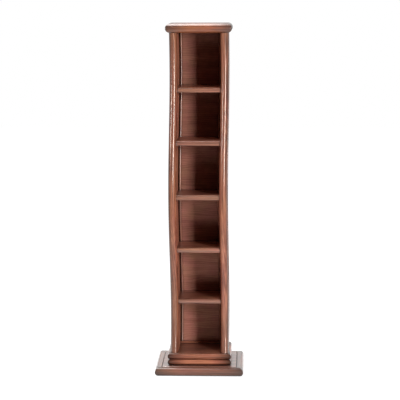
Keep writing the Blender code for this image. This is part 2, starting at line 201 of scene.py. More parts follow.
def loft(rings):
    """Closed mesh through rings of equal count, with flat ends."""
    mesh = bmesh.new()
    rows = [[mesh.verts.new(point) for point in ring] for ring in rings]
    for lower, upper in zip(rows, rows[1:]):
        for i in range(len(lower)):
            follower = (i + 1) % len(lower)
            mesh.faces.new((lower[i], lower[follower], upper[follower], upper[i]))
    mesh.faces.new(rows[0])
    mesh.faces.new(rows[-1])
    bmesh.ops.recalc_face_normals(mesh, faces=mesh.faces[:])
    return mesh


def shade(piece):
    """Smooth shading that keeps true edges sharp."""
    piece.data.shade_smooth()
    piece.data.set_sharp_from_angle(angle=math.radians(SHARP_DEGREES))


def add_piece(node, mesh):
    """Makes the finished piece that stands for a CAD node, and rides it on the tower."""
    name = f"{node}_finished"
    data = bpy.data.meshes.new(name)
    mesh.to_mesh(data)
    mesh.free()
    piece = bpy.data.objects.new(name, data)
    bpy.context.scene.collection.objects.link(piece)
    shade(piece)
    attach(piece, "root")
    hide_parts(node)
    finished[node] = piece
    return piece


def drill(piece, fastener, radius):
    """Cuts a round hole for a fastener, a little larger than it, along the fastener's own line."""
    low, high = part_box(fastener)
    mesh = bmesh.new()
    depth = high.z - low.z + 2 * GAP
    wide = radius + GAP
    bmesh.ops.create_cone(
        mesh, cap_ends=True, segments=HOLE_SEGMENTS, radius1=wide, radius2=wide, depth=depth
    )
    bmesh.ops.translate(mesh, vec=(low + high) / 2, verts=mesh.verts[:])
    data = bpy.data.meshes.new("drill")
    mesh.to_mesh(data)
    mesh.free()
    cutter = bpy.data.objects.new("drill", data)
    bpy.context.scene.collection.objects.link(cutter)
    cutting = piece.modifiers.new("hole", "BOOLEAN")
    cutting.object = cutter
    bpy.context.view_layer.update()
    shown = piece.evaluated_get(bpy.context.evaluated_depsgraph_get())
    drilled = bpy.data.meshes.new_from_object(shown)
    piece.modifiers.clear()
    old = piece.data
    piece.data = drilled
    bpy.data.meshes.remove(old)
    bpy.data.objects.remove(cutter)
    bpy.data.meshes.remove(data)


def drill_for_dowel(piece, dowel):
    """Cuts the hole for a dowel, whose radius is half the width of its box."""
    low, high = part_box(dowel)
    drill(piece, dowel, (high.x - low.x) / 2)


# Body

def front_stile_outline(side):
    """Plan of a front stile: oval front, eased outer arris and a rebate for the side panel."""
    half = STILE_WIDTH / 2
    ease = ARRIS_RADIUS
    rear = FRONT_STILE_DEPTH - ease
    nose = arc(HALF_BODY - half, FRONT_NOSE_DEPTH, half, FRONT_NOSE_DEPTH, 180, 360, NOSE_STEPS)
    outer = arc(HALF_BODY - ease, rear, ease, ease, 0, 90, ARRIS_STEPS)
    rebate = arc(PANEL_OUTER + GAP + ease, rear, ease, ease, 90, 180, ARRIS_STEPS)
    shoulder = [(PANEL_OUTER + GAP, SIDE_PANEL_FRONT - GAP), (INNER_FACE, SIDE_PANEL_FRONT - GAP)]
    return [(side * x, depth) for x, depth in nose + outer + rebate + shoulder]


def rear_stile_outline(side):
    """Plan of a rear stile: a rebate for the side panel, a groove for the back panel, eased edges."""
    ease = ARRIS_RADIUS
    front = REAR_STILE_FRONT + ease
    radius = REAR_EDGE_RADIUS
    rear = BODY_DEPTH - radius
    groove_floor = INNER_FACE + GROOVE_DEPTH + GAP
    shoulder = [(INNER_FACE, SIDE_PANEL_REAR + GAP), (PANEL_OUTER + GAP, SIDE_PANEL_REAR + GAP)]
    rebate = arc(PANEL_OUTER + GAP + ease, front, ease, ease, 180, 270, ARRIS_STEPS)
    arris = arc(HALF_BODY - ease, front, ease, ease, 270, 360, ARRIS_STEPS)
    outer = arc(HALF_BODY - radius, rear, radius, radius, 0, 90, REAR_EDGE_STEPS)
    inner = arc(INNER_FACE + radius, rear, radius, radius, 90, 180, REAR_EDGE_STEPS)
    groove = [
        (INNER_FACE, BACK_PANEL_REAR + GAP),
        (groove_floor, BACK_PANEL_REAR + GAP),
        (groove_floor, BACK_PANEL_FRONT - GAP),
        (INNER_FACE, BACK_PANEL_FRONT - GAP),
    ]
    return [(side * x, depth) for x, depth in shoulder + rebate + arris + outer + inner + groove]


def make_stiles():
    """Four stiles, drilled for the base screws and the cap dowels."""
    for place, outline in (("front", front_stile_outline), ("rear", rear_stile_outline)):
        for hand, side in HANDS:
            mesh = bend(prism(outline(side), BODY_LOW, BODY_HIGH, plan_place))
            stile = add_piece(f"{place}_{hand}_stile", mesh)
            drill(stile, f"base_screw_{place}_{hand}", SCREW_RADIUS)
            drill_for_dowel(stile, f"cap_dowel_{place}_{hand}")
            shade(stile)


def make_side_panels():
    """Side panels with a housing for each shelf in their inner faces."""
    floor = INNER_FACE + HOUSING_DEPTH
    section = [(INNER_FACE, BODY_LOW)]
    for low, high in reversed(SHELF_SPANS):
        section += [(INNER_FACE, low - GAP), (floor, low - GAP)]
        section += [(floor, high + GAP), (INNER_FACE, high + GAP)]
    section += [(INNER_FACE, BODY_HIGH), (PANEL_OUTER, BODY_HIGH), (PANEL_OUTER, BODY_LOW)]
    for hand, side in HANDS:
        outline = [(side * x, z) for x, z in section]
        mesh = bend(prism(outline, SIDE_PANEL_FRONT, SIDE_PANEL_REAR, front_place))
        add_piece(f"{hand}_side_panel", mesh)


def make_back_panel():
    """A sheet with a rebated foot, so that a fine slot shows above the foot bead."""
    half = INNER_FACE + GROOVE_DEPTH
    rebate_top = FOOT_BEAD_TOP + FOOT_SLOT
    rebate_face = BACK_PANEL_FRONT + FOOT_REBATE_DEPTH
    section = [
        (BACK_PANEL_REAR, BODY_LOW),
        (BACK_PANEL_REAR, BODY_HIGH),
        (BACK_PANEL_FRONT, BODY_HIGH),
        (BACK_PANEL_FRONT, rebate_top),
        (rebate_face, rebate_top),
        (rebate_face, BODY_LOW),
    ]
    add_piece("back_panel", bend(prism(section, -half, half, side_place)))


def shelf_outline():
    """Plan of a shelf, with its ends in the housings of the side panels."""
    half_width = INNER_FACE - GAP
    half_housed = INNER_FACE + HOUSING_DEPTH - GAP
    right = [
        (half_width, SHELF_SETBACK),
        (half_width, SIDE_PANEL_FRONT + GAP),
        (half_housed, SIDE_PANEL_FRONT + GAP),
        (half_housed, SIDE_PANEL_REAR - GAP),
        (half_width, SIDE_PANEL_REAR - GAP),
        (half_width, BACK_PANEL_FRONT - GAP),
    ]
    return right + [(-x, depth) for x, depth in reversed(right)]


def round_front_edge(mesh, level, radius):
    """Rounds the front edge of a straight shelf at one level."""
    front = BODY_FRONT + SHELF_SETBACK + GAP
    edges = [
        edge for edge in mesh.edges
        if all(vertex.co.y < front and abs(vertex.co.z - level) < GAP for vertex in edge.verts)
    ]
    bmesh.ops.bevel(
        mesh, geom=edges, offset=radius, segments=SHELF_EDGE_SEGMENTS, profile=0.5, affect="EDGES"
    )


def make_shelves():
    """Five shelves, numbered from the top, with the front edge rounded above and eased below."""
    for number, (low, high) in enumerate(SHELF_SPANS, 1):
        mesh = prism(shelf_outline(), low, high, plan_place)
        round_front_edge(mesh, high, SHELF_TOP_RADIUS)
        round_front_edge(mesh, low, SHELF_LOW_RADIUS)
        add_piece(f"shelf_{number}", bend(mesh))


def make_beads():
    """Upright beads beside the back panel in each compartment, and one along its foot."""
    radius = BEAD_WIDTH / 2
    rear = BACK_PANEL_FRONT - GAP
    nose_middle = rear - BEAD_DEPTH + radius
    foot_low = FLOOR_TOP + GAP
    foot = arc(nose_middle, foot_low + radius, radius, radius, 270, 90, BEAD_STEPS)
    foot += [(rear, FOOT_BEAD_TOP), (rear, foot_low)]
    half = INNER_FACE - GAP
    add_piece("foot_bead", bend(prism(foot, -half, half, side_place)))
    floors = [high + GAP for low, high in SHELF_SPANS] + [FOOT_BEAD_TOP + FOOT_SLOT]
    ceilings = [BODY_HIGH] + [low - GAP for low, high in SHELF_SPANS]
    for hand, side in HANDS:
        outline = arc(BEAD_OUTER - radius, nose_middle, radius, radius, 180, 360, BEAD_STEPS)
        outline += [(BEAD_OUTER, rear), (BEAD_OUTER - BEAD_WIDTH, rear)]
        outline = [(side * x, depth) for x, depth in outline]
        for number, (low, high) in enumerate(zip(floors, ceilings), 1):
            mesh = bend(prism(outline, low, high, plan_place))
            add_piece(f"{hand}_bead_{number}", mesh)


# Base, plinth and cap

def make_strip(node, profile, half_length, across, low, quarter):
    """A strip along one side of a board: profile points are outwards and up, and its ends are mitred."""
    turn = Matrix.Rotation(quarter * math.pi / 2, 3, "Z")
    rings = []
    for direction in (-1, 1):
        ring = []
        for out, up in profile:
            end = direction * (half_length + out - GAP / 2)
            ring.append(turn @ Vector((end, -(across + out), low + up)))
        rings.append(ring)
    add_piece(node, loft(rings))


def make_strips(prefix, profile, half_width, half_depth, low):
    """Four mitred strips round a board of the given half sizes."""
    for quarter, side in enumerate(("front", "right", "rear", "left")):
        along, across = half_width + GAP, half_depth + GAP
        if side in ("left", "right"):
            along, across = across, along
        make_strip(f"{prefix}_{side}", profile, along, across, low, quarter)


def make_edging():
    """Bullnose edging of the base board, with its half of the V groove along the panel."""
    low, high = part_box("base_panel")
    thickness = high.z - low.z
    radius = thickness / 2
    nose = arc(EDGING_WIDTH - radius, radius, radius, radius, -90, 90, NOSE_STEPS)
    profile = [(0, 0)] + nose + [(GROOVE_CHAMFER, thickness), (0, thickness - GROOVE_CHAMFER)]
    make_strips("base_edging", profile, high.x, high.y, low.z)


def make_mouldings(prefix):
    """Half-round moulding round one step of the plinth."""
    low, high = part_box(f"{prefix}_front")
    radius = (high.z - low.z) / 2
    projection = high.y - low.y
    profile = arc(0, radius, projection, radius, -90, 90, MOULDING_STEPS)
    make_strips(prefix, profile, HALF_BODY, BODY_DEPTH / 2, low.z)


def rounded_rectangle(half_x, half_y, radius, z):
    """Points of a level rectangle with rounded corners."""
    points = []
    corners = ((1, 1, 0), (-1, 1, 90), (-1, -1, 180), (1, -1, 270))
    for sign_x, sign_y, start in corners:
        centre_x = sign_x * (half_x - radius)
        centre_y = sign_y * (half_y - radius)
        corner = arc(centre_x, centre_y, radius, radius, start, start + 90, CAP_CORNER_STEPS)
        points += [(x, y, z) for x, y in corner]
    return points


def make_cap():
    """Cap board with a full bullnose on all four sides, drilled for the dowels."""
    low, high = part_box("cap")
    nose = (high.z - low.z) / 2
    middle = (high.z + low.z) / 2
    rings = []
    for outwards, up in arc(0, 0, nose, nose, -90, 90, CAP_NOSE_STEPS):
        inset = nose - outwards
        radius = max(CAP_CORNER_RADIUS - inset, GAP)
        rings.append(rounded_rectangle(high.x - inset, high.y - inset, radius, middle + up))
    cap = add_piece("cap", loft(rings))
    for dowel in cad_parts:
        if dowel.startswith("cap_dowel"):
            drill_for_dowel(cap, dowel)
    shade(cap)


def ease_board(node):
    """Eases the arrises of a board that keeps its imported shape."""
    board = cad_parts[node]
    weld = board.modifiers.new("weld", "WELD")
    weld.merge_threshold = WELD_DISTANCE
    ease = board.modifiers.new("ease", "BEVEL")
    ease.width = BOARD_ARRIS
    ease.segments = BOARD_ARRIS_SEGMENTS
    ease.limit_method = "ANGLE"
    ease.angle_limit = math.radians(BOARD_ARRIS_DEGREES)
    finished[node] = board


# Shader nodes

def add_node(tree, kind, **settings):
    """A new shader node with the given settings."""
    node = tree.nodes.new(kind)
    for name, value in settings.items():
        setattr(node, name, value)
    return node


def feed(tree, node, **values):
    """Sets inputs by name or number: a socket is linked, anything else becomes the input's own value."""
    for name, value in values.items():
        socket = node.inputs[int(name[1:])] if name[0] == "_" else node.inputs[name.replace("_", " ")]
        if isinstance(value, bpy.types.NodeSocket):
            tree.links.new(value, socket)
        else:
            socket.default_value = value
    return node


def new_material(name):
    """A new material, its node tree and its shader."""
    material = bpy.data.materials.new(name)
    material.use_nodes = True
    tree = material.node_tree
    return material, tree, tree.nodes["Principled BSDF"]


def place_of(tree):
    """Where a point lies on its object."""
    return add_node(tree, "ShaderNodeTexCoord").outputs["Object"]


def normal_of(tree):
    """Which way the surface faces."""
    return add_node(tree, "ShaderNodeNewGeometry").outputs["Normal"]


def parts_of(tree, vector):
    """X, Y and Z of a vector."""
    return feed(tree, add_node(tree, "ShaderNodeSeparateXYZ"), Vector=vector).outputs


def dot(tree, first, second):
    """How far one vector reaches along another."""
    node = add_node(tree, "ShaderNodeVectorMath", operation="DOT_PRODUCT")
    return feed(tree, node, _0=first, _1=second).outputs["Value"]


def maths(tree, operation, *values):
    """Result of a maths operation on numbers and sockets."""
    node = add_node(tree, "ShaderNodeMath", operation=operation)
    feed(tree, node, **{f"_{i}": value for i, value in enumerate(values)})
    return node.outputs[0]


def map_range(tree, value, low, high, to_low, to_high):
    """Maps low to high onto to_low to to_high, and stays at the end values outside."""
    node = add_node(tree, "ShaderNodeMapRange")
    feed(tree, node, _0=value, _1=low, _2=high, _3=to_low, _4=to_high)
    return node.outputs[0]


def noise(tree, coordinates, pattern):
    """Noise of a pattern: stretch along each axis, detail and roughness."""
    stretch, detail, roughness = pattern
    scaled = add_node(tree, "ShaderNodeVectorMath", operation="MULTIPLY")
    feed(tree, scaled, _0=coordinates, _1=stretch)
    made = add_node(tree, "ShaderNodeTexNoise")
    feed(tree, made, Vector=scaled.outputs[0], Scale=1.0, Detail=detail, Roughness=roughness)
    return made.outputs["Fac"]


def mix_number(tree, factor, first, second):
    """First number at factor zero, second at one."""
    node = add_node(tree, "ShaderNodeMix", data_type="FLOAT")
    return feed(tree, node, _0=factor, _2=first, _3=second).outputs[0]


def mix_colour(tree, factor, first, second):
    """First colour at factor zero, second at one."""
    node = add_node(tree, "ShaderNodeMix", data_type="RGBA")
    return feed(tree, node, _0=factor, _6=first, _7=second).outputs[2]


def ramp(tree, value, stops):
    """Colour ramp through stops of position and colour."""
    node = feed(tree, add_node(tree, "ShaderNodeValToRGB"), Fac=value)
    elements = node.color_ramp.elements
    while len(elements) < len(stops):
        elements.new(1.0)
    for element, (position, colour) in zip(elements, stops):
        element.position = position
        element.color = (*colour, 1)
    return node.outputs["Color"]


# Figure of the wood: noises that are stretched along, across and through the grain, and their shares
WARP_NOISE = ((2.2, 16, 16), 2, 0.5)
RIBBON_NOISE = ((3, 70, 70), 4, 0.6)
FIBRE_NOISE = ((14, 420, 420), 3, 0.6)
PORE_NOISE = ((70, 1600, 1600), 1, 0.5)
STAIN_NOISE = ((5, 9, 9), 2, 0.5)
HUE_NOISE = ((7, 22, 22), 2, 0.5)
RUB_NOISE = ((40, 60, 60), 3, 0.6)
RIBBON_SHARE = 0.46
FIBRE_SHARE = 0.26
RING_SHARE = 0.10
STAIN_SHARE = 0.22
FIGURE_MIDDLE = 0.52

# Growth rings: how close, where their pith lies beside the board, and how far they waver
RINGS_PER_METRE = 150
PITH_ACROSS = 0.11
PITH_THROUGH = 0.17
RING_WARP = 0.035

# Colours of the wood from its dark to its light figure, of pores and worn edges, and drift of its hue
WOOD_STOPS = (
    (0.30, (0.062, 0.011, 0.004)),
    (0.46, (0.148, 0.033, 0.010)),
    (0.58, (0.222, 0.055, 0.018)),
    (0.74, (0.345, 0.102, 0.038)),
)
PORE_SPAN = (0.62, 0.74)
PORE_SHARE = 0.45
PORE_COLOUR = (0.060, 0.014, 0.008, 1)
WEAR_COLOUR = (0.46, 0.20, 0.115, 1)
HUE_SPAN = (0.35, 0.65)
HUES = (0.494, 0.507)

# Worn edges: radius that counts as an edge, how far the surface turns there, how open it is, most wear
WEAR_RADIUS = 0.0016
WEAR_TURN_SPAN = (0.995, 0.90)
WEAR_OPEN_SPAN = (0.70, 0.95)
RUB_SPAN = (0.42, 0.62)
MOST_WEAR = 0.55
SURFACE_SAMPLES = 6

# Stain in the end grain, and painted shade in crevices and corners
END_GRAIN_SPAN = (0.25, 0.85)
END_GRAIN_TONE = 0.70
PAINTED_SHADE_REACH = 0.012
PLY_PAINTED_SHADE_REACH = 0.006
PAINTED_SHADE_SPAN = (0.30, 0.85)
PAINTED_SHADE_TONE = 0.30

# Surface: roughness, how much smoother ribbons and rougher pores are, and relief
WOOD_ROUGHNESS = 0.62
RIBBON_SMOOTHNESS = 0.16
PORE_ROUGHNESS = 0.12
PORE_DEPTH = 0.6
FIBRE_HEIGHT = 0.4
BUMP_STRENGTH = 0.20
BUMP_DISTANCE = 0.0004
WOOD_IOR = 1.5


def growth_rings(tree, grain):
    """Rings from zero to one: distance from a pith beside the board, bent by a slow warp."""
    parts = parts_of(tree, grain)
    across = maths(tree, "ADD", parts["Y"], PITH_ACROSS)
    through = maths(tree, "ADD", parts["Z"], PITH_THROUGH)
    squares = maths(tree, "ADD", maths(tree, "POWER", across, 2.0), maths(tree, "POWER", through, 2.0))
    warp = noise(tree, grain, WARP_NOISE)
    distance = maths(tree, "MULTIPLY_ADD", warp, RING_WARP, maths(tree, "SQRT", squares))
    phase = maths(tree, "MULTIPLY", distance, 2 * math.pi * RINGS_PER_METRE)
    return maths(tree, "MULTIPLY_ADD", maths(tree, "SINE", phase), 0.5, 0.5)


def edge_wear(tree, grain, openness):
    """How far stain is rubbed off arrises, where the surface turns within a millimetre or two."""
    turned = feed(tree, add_node(tree, "ShaderNodeBevel", samples=SURFACE_SAMPLES), Radius=WEAR_RADIUS)
    facing = dot(tree, turned.outputs["Normal"], normal_of(tree))
    edge = map_range(tree, facing, *WEAR_TURN_SPAN, 0, 1)
    edge = maths(tree, "MULTIPLY", edge, map_range(tree, openness, *WEAR_OPEN_SPAN, 0, 1))
    rubbed = map_range(tree, noise(tree, grain, RUB_NOISE), *RUB_SPAN, 0, MOST_WEAR)
    return maths(tree, "MULTIPLY", edge, rubbed)


def stained_and_shaded_tone(tree, tone, along, openness):
    """Tone with the stain that the end grain drinks, and painted shade in crevices and corners."""
    end = maths(tree, "ABSOLUTE", dot(tree, along, normal_of(tree)))
    end_tone = map_range(tree, end, *END_GRAIN_SPAN, 1, END_GRAIN_TONE)
    # Painted shade: darker where ambient occlusion finds other surfaces close by
    painted_shade = map_range(tree, openness, *PAINTED_SHADE_SPAN, PAINTED_SHADE_TONE, 1)
    return maths(tree, "MULTIPLY", maths(tree, "MULTIPLY", tone, end_tone), painted_shade)


def wood_figure():
    """Node group of wood: colour, roughness and surface height from coordinates along the grain."""
    tree = bpy.data.node_groups.new("wood_figure", "ShaderNodeTree")
    for name, kind, way in (
        ("Grain", "NodeSocketVector", "INPUT"),
        ("Along", "NodeSocketVector", "INPUT"),
        ("Tone", "NodeSocketFloat", "INPUT"),
        ("Strength of colour", "NodeSocketFloat", "INPUT"),
        ("Contrast", "NodeSocketFloat", "INPUT"),
        ("Crevice reach", "NodeSocketFloat", "INPUT"),
        ("Color", "NodeSocketColor", "OUTPUT"),
        ("Roughness", "NodeSocketFloat", "OUTPUT"),
        ("Height", "NodeSocketFloat", "OUTPUT"),
    ):
        tree.interface.new_socket(name, in_out=way, socket_type=kind)
    given = add_node(tree, "NodeGroupInput").outputs
    grain = given["Grain"]
    ribbon = noise(tree, grain, RIBBON_NOISE)
    fibre = noise(tree, grain, FIBRE_NOISE)
    stain = noise(tree, grain, STAIN_NOISE)
    pores = map_range(tree, noise(tree, grain, PORE_NOISE), *PORE_SPAN, 0, 1)
    # Ambient occlusion: it keeps wear off hollow edges, and gives the painted shade in crevices
    around_point = add_node(tree, "ShaderNodeAmbientOcclusion", samples=SURFACE_SAMPLES)
    openness = feed(tree, around_point, Distance=given["Crevice reach"]).outputs["AO"]

    figure = maths(tree, "MULTIPLY", ribbon, RIBBON_SHARE)
    figure = maths(tree, "MULTIPLY_ADD", fibre, FIBRE_SHARE, figure)
    figure = maths(tree, "MULTIPLY_ADD", growth_rings(tree, grain), RING_SHARE, figure)
    figure = maths(tree, "MULTIPLY_ADD", stain, STAIN_SHARE, figure)
    departure = maths(tree, "SUBTRACT", figure, FIGURE_MIDDLE)
    figure = maths(tree, "MULTIPLY_ADD", departure, given["Contrast"], FIGURE_MIDDLE)

    colour = ramp(tree, figure, WOOD_STOPS)
    colour = mix_colour(tree, maths(tree, "MULTIPLY", pores, PORE_SHARE), colour, PORE_COLOUR)
    colour = mix_colour(tree, edge_wear(tree, grain, openness), colour, WEAR_COLOUR)
    tone = stained_and_shaded_tone(tree, given["Tone"], given["Along"], openness)
    hue = map_range(tree, noise(tree, grain, HUE_NOISE), *HUE_SPAN, *HUES)
    toned = add_node(tree, "ShaderNodeHueSaturation")
    feed(tree, toned, Color=colour, Hue=hue, Saturation=given["Strength of colour"], Value=tone)

    roughness = maths(tree, "MULTIPLY_ADD", ribbon, -RIBBON_SMOOTHNESS, WOOD_ROUGHNESS)
    roughness = maths(tree, "MULTIPLY_ADD", pores, PORE_ROUGHNESS, roughness)
    relief = maths(tree, "MULTIPLY", fibre, FIBRE_HEIGHT)
    relief = maths(tree, "MULTIPLY_ADD", pores, -PORE_DEPTH, relief)
    outward = add_node(tree, "NodeGroupOutput")
    feed(tree, outward, Color=toned.outputs["Color"], Roughness=roughness, Height=relief)
    return tree


# Turns that lay the figure along the grain, and the line of the grain
GRAIN_TURNS = {"x": (0, 0, 0), "y": (0, 0, -math.pi / 2), "z": (0, math.pi / 2, 0)}
GRAIN_LINES = {"x": (1, 0, 0), "y": (0, 1, 0), "z": (0, 0, 1)}

# Strength of colour and contrast of the figure, and the shorter figure of the plywood
COLOUR_STRENGTHS = {"back_panel": 0.76, "cap": 1.0}
USUAL_COLOUR_STRENGTH = 0.88
SOLID_CONTRAST = 1.5
PLY_CONTRAST = 0.6
PLY_SCALE = (2.5, 1, 1)

# Boards: each is cut from another part of the tree and has one of a few tones
STEP_ALONG_TREE = 0.731
STEP_ACROSS_TREE = 0.0173
STEP_THROUGH_TREE = 0.0119
PLACES_ACROSS_TREE = 7
PLACES_THROUGH_TREE = 5
LEAST_BOARD_TONE = 0.95
BOARD_TONE_STEP = 0.025
BOARD_TONES = 5
BOARD_TONE_STRIDE = 3

# Lacquers: specular level and share of roughness of the wood, then the clear coat on it
Lacquer = namedtuple("Lacquer", "level smoothing coat coat_roughness coat_ior")
GLOSS = Lacquer(0.65, 1.0, 0.68, 0.21, 1.5)
WARM_GLOSS = Lacquer(0.52, 0.44, 0.20, 0.21, 1.5)
BEAD_GLOSS = Lacquer(0.8, 1.0, 0.9, 0.28, 1.6)
POLISH = Lacquer(1.0, 1.0, 1.0, 0.16, 2.2)
CAP_POLISH = Lacquer(0.5, 1.0, 0.85, 0.22, 1.5)
SATIN = Lacquer(0.30, 1.0, 0.0, 0.50, 1.5)
MATT = Lacquer(0.03, 1.0, 0.0, 0.50, 1.5)
SHEEN_TINT = (1.0, 0.82, 0.70, 1)

# Lacquers of pieces and families. All others are in plain gloss.
LACQUERS = {
    "back_panel": MATT,
    "side_panel": SATIN,
    "stile": WARM_GLOSS,
    "cap": CAP_POLISH,
    "upper_moulding": WARM_GLOSS,
    "lower_moulding": WARM_GLOSS,
    # Left beads glossy and right beads satin, though alike: lit and shaded copies, a painted highlight on
    # the lit side only
    "left_bead": BEAD_GLOSS,
    "right_bead": SATIN,
    "foot_bead": SATIN,
    "base_edging": POLISH,
    "base_edging_front": GLOSS,
    "base_panel": POLISH,
}

# Tones of pieces and families that differ from the rest
TONES = {
    "cap": 0.95,
    "upper_moulding": 1.64,
    "lower_moulding": 2.02,
    "back_panel": 1.14,
    "base_edging": 0.95,
    "foot_bead": 1.35,
    "floor_board": 0.88,
    "shelf_1": 1.16,
    "shelf_3": 0.78,
    "shelf_5": 0.88,
}

# Toner sprayed darker towards the ends: where it starts, as a share of the half length, and its last tone
SHADED_ENDS = {
    "cap": (0.30, 0.18),
    "upper_moulding": (0.40, 0.12),
    "lower_moulding": (0.40, 0.12),
    "base_edging": (0.55, 0.20),
}

# Stiles: tone of the front, painted shade on the outer sides and painted light on the inner sides, and
# the darker foot between two heights
STILE_TONE = 1.02
STILE_OUTER_PAINTED_SHADE = 0.62
STILE_INNER_PAINTED_LIGHT = 1.25
STILE_TURN_SPAN = (0.45, 0.95)
STILE_SIDE_SPAN = (-0.1, 0.1)
STILE_FOOT_TONE = 0.74
STILE_FOOT_SPAN = (0.09, 0.26)

# Shelves, side panels and back panel: tones, with painted light on the shelf tops, the inner faces of the
# side panels and the foot of the back panel, and where one goes over into the other
SHELF_TONE = 0.88
SHELF_TOP_PAINTED_LIGHT = 1.4
SHELF_TOP_SPAN = (0.75, 0.98)
INNER_FACE_PAINTED_LIGHT = 1.4
INNER_FACE_SPAN = (-0.02, 0.02)
# Painted light: the back panel is lighter towards its foot
FOOT_TONE = 1.28
FOOT_TONE_SPAN = (0.17, 0.50)


# Materials of the wooden pieces

def family_of(node):
    """Family of like pieces: the name without its side or number."""
    for ending in ("stile", "side_panel"):
        if node.endswith("_" + ending):
            return ending
    return node.rsplit("_", 1)[0]


def look_up(table, node, usual):
    """The entry of a piece, or else that of its family, or else the usual one."""
    return table.get(node, table.get(family_of(node), usual))


def grain_of(node):
    """Direction of the grain: along a strip, up a stile, side panel or bead, and across all else."""
    if node.endswith(("_stile", "_side_panel")) or "_bead_" in node:
        return "z"
    if node.startswith(("base_edging", "lower_moulding", "upper_moulding")):
        return "y" if node.endswith(("left", "right")) else "x"
    return "x"


def shaded_tone(tree, piece, place, line, middle_tone, start, last_tone):
    """Tone that falls towards both ends of a piece."""
    half = max(abs(Vector(corner).dot(Vector(line))) for corner in piece.bound_box)
    distance = maths(tree, "ABSOLUTE", dot(tree, place, line))
    return map_range(tree, distance, start * half, half, middle_tone, last_tone)


def stile_tone(tree, place):
    """Tone of a stile: painted light on its inner side, painted shade on its outer side, and darker
    towards its foot.
    """
    parts = parts_of(tree, place)
    across = parts_of(tree, normal_of(tree))["X"]
    outward = maths(tree, "MULTIPLY", across, maths(tree, "SIGN", parts["X"]))
    # Painted light and shade: the side that faces inwards is lighter, the outer side darker
    side = map_range(tree, outward, *STILE_SIDE_SPAN, STILE_INNER_PAINTED_LIGHT, STILE_OUTER_PAINTED_SHADE)
    turned = map_range(tree, maths(tree, "ABSOLUTE", across), *STILE_TURN_SPAN, STILE_TONE, side)
    foot = map_range(tree, parts["Z"], *STILE_FOOT_SPAN, STILE_FOOT_TONE, 1)
    return maths(tree, "MULTIPLY", turned, foot)


def shelf_tone(tree):
    """Tone of a shelf, with painted light that makes its top lighter than its front."""
    upward = parts_of(tree, normal_of(tree))["Z"]
    return map_range(tree, upward, *SHELF_TOP_SPAN, SHELF_TONE, SHELF_TOP_PAINTED_LIGHT)


def side_panel_tone(tree, place):
    """Tone of a side panel, with painted light that makes the side facing the compartments lighter."""
    across = parts_of(tree, normal_of(tree))["X"]
    outward = maths(tree, "MULTIPLY", across, parts_of(tree, place)["X"])
    return map_range(tree, outward, *INNER_FACE_SPAN, INNER_FACE_PAINTED_LIGHT, 1)


def back_panel_tone(tree, place):
    """Tone of the back panel, with painted light that makes it lighter towards its foot."""
    return map_range(tree, parts_of(tree, place)["Z"], *FOOT_TONE_SPAN, FOOT_TONE, 1)


def tone_of(tree, piece, node, place):
    """Tone of a piece, as one number or as a socket where it changes over the piece."""
    tone = look_up(TONES, node, 1.0)
    family = family_of(node)
    if family in SHADED_ENDS:
        return shaded_tone(tree, piece, place, GRAIN_LINES[grain_of(node)], tone, *SHADED_ENDS[family])
    if family == "stile":
        return stile_tone(tree, place)
    if family == "side_panel":
        return side_panel_tone(tree, place)
    if family == "shelf":
        return maths(tree, "MULTIPLY", shelf_tone(tree), tone)
    if node == "back_panel":
        return maths(tree, "MULTIPLY", back_panel_tone(tree, place), tone)
    return tone


def wood_material(piece, node, figure, seed):
    """Lacquered wood with its grain along x, y or z. Each seed is another part of the tree."""
    material, tree, shader = new_material(f"wood_{node}")
    place = place_of(tree)
    along = grain_of(node)
    ply = node == "back_panel"
    board_tone = LEAST_BOARD_TONE + BOARD_TONE_STEP * (seed * BOARD_TONE_STRIDE % BOARD_TONES)
    tone = maths(tree, "MULTIPLY", tone_of(tree, piece, node, place), board_tone)
    shift = (
        STEP_ALONG_TREE * seed,
        STEP_ACROSS_TREE * (seed % PLACES_ACROSS_TREE),
        STEP_THROUGH_TREE * (seed % PLACES_THROUGH_TREE),
    )
    mapping = add_node(tree, "ShaderNodeMapping")
    feed(tree, mapping, Vector=place, Location=shift, Rotation=GRAIN_TURNS[along])
    if ply:
        feed(tree, mapping, Scale=PLY_SCALE)
    wood = add_node(tree, "ShaderNodeGroup", node_tree=figure)
    feed(tree, wood, Grain=mapping.outputs["Vector"], Along=GRAIN_LINES[along], Tone=tone)
    feed(tree, wood, Strength_of_colour=look_up(COLOUR_STRENGTHS, node, USUAL_COLOUR_STRENGTH))
    feed(tree, wood, Contrast=PLY_CONTRAST if ply else SOLID_CONTRAST)
    feed(tree, wood, Crevice_reach=PLY_PAINTED_SHADE_REACH if ply else PAINTED_SHADE_REACH)
    bump = add_node(tree, "ShaderNodeBump")
    feed(tree, bump, Height=wood.outputs["Height"], Strength=BUMP_STRENGTH, Distance=BUMP_DISTANCE)
    lacquer = look_up(LACQUERS, node, GLOSS)
    roughness = maths(tree, "MULTIPLY", wood.outputs["Roughness"], lacquer.smoothing)
    feed(tree, shader, Base_Color=wood.outputs["Color"], Roughness=roughness)
    feed(tree, shader, Normal=bump.outputs["Normal"], IOR=WOOD_IOR)
    feed(tree, shader, Specular_IOR_Level=lacquer.level, Specular_Tint=SHEEN_TINT)
    feed(tree, shader, Coat_Weight=lacquer.coat, Coat_Roughness=lacquer.coat_roughness)
    feed(tree, shader, Coat_IOR=lacquer.coat_ior)
    return material


# Materials of the fasteners: noise, colours, and roughness over the middle of the noise
ZINC_NOISE = ((900, 900, 900), 3, 0.6)
ZINC_STOPS = ((0.35, (0.40, 0.39, 0.36)), (0.65, (0.62, 0.61, 0.57)))
ZINC_ROUGHNESS = (0.28, 0.42)
BEECH_NOISE = ((2200, 2200, 300), 2, 0.5)
BEECH_STOPS = ((0.38, (0.36, 0.21, 0.11)), (0.60, (0.52, 0.34, 0.19)))
BEECH_ROUGHNESS = (0.70, 0.55)
NOISE_MIDDLE = (0.3, 0.7)


